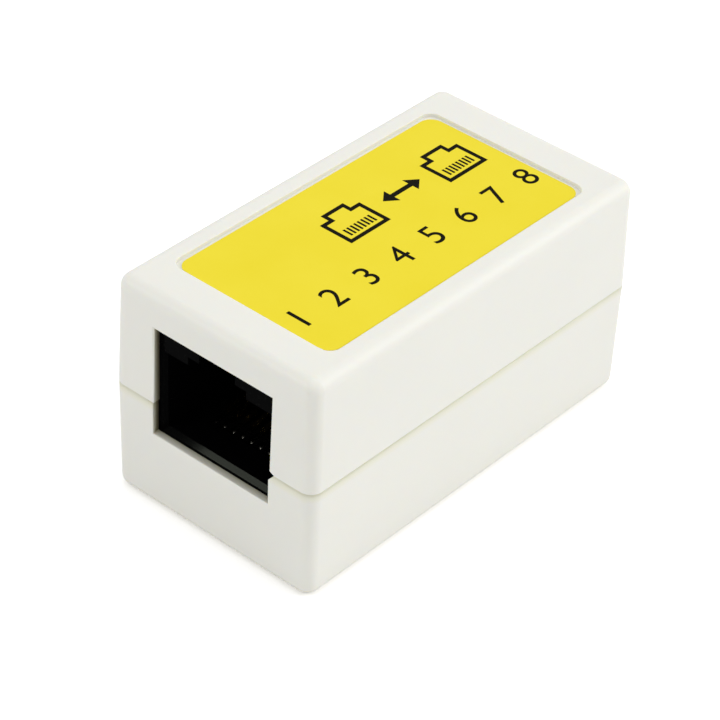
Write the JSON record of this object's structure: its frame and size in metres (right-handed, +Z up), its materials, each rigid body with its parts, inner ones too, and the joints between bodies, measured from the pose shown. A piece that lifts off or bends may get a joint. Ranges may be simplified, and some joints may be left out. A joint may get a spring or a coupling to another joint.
{
  "type": "inline network cable coupler",
  "caption": "Small white box coupler with a modular data socket in each end wall and a yellow label in a shallow recess on top.",
  "frame": {"origin": "middle of the base, on the surface that the coupler rests on", "axes": "+X along the length, from the front socket to the rear one; +Y across the width; +Z up, towards the label"},
  "size_m": [0.0418, 0.0226, 0.022],
  "materials": {
    "case": "satin white moulded plastic",
    "label": "yellow printed film label",
    "socket": "black moulded plastic",
    "contact": "gold-plated bronze wire",
    "board": "green glass-fibre board",
    "solder": "tin solder"
  },
  "bodies": {
    "root": {"lower_shell": "case", "upper_shell": "case", "label": "label", "circuit_board": "board", "front_socket_housing": "socket", "front_contact_carrier": "socket", "front_solder_joints": "solder", "front_contact_1": "contact", "front_contact_2": "contact", "front_contact_3": "contact", "front_contact_4": "contact", "front_contact_5": "contact", "front_contact_6": "contact", "front_contact_7": "contact", "front_contact_8": "contact", "rear_socket_housing": "socket", "rear_contact_carrier": "socket", "rear_solder_joints": "solder", "rear_contact_1": "contact", "rear_contact_2": "contact", "rear_contact_3": "contact", "rear_contact_4": "contact", "rear_contact_5": "contact", "rear_contact_6": "contact", "rear_contact_7": "contact", "rear_contact_8": "contact"}
  },
  "joints": []
}
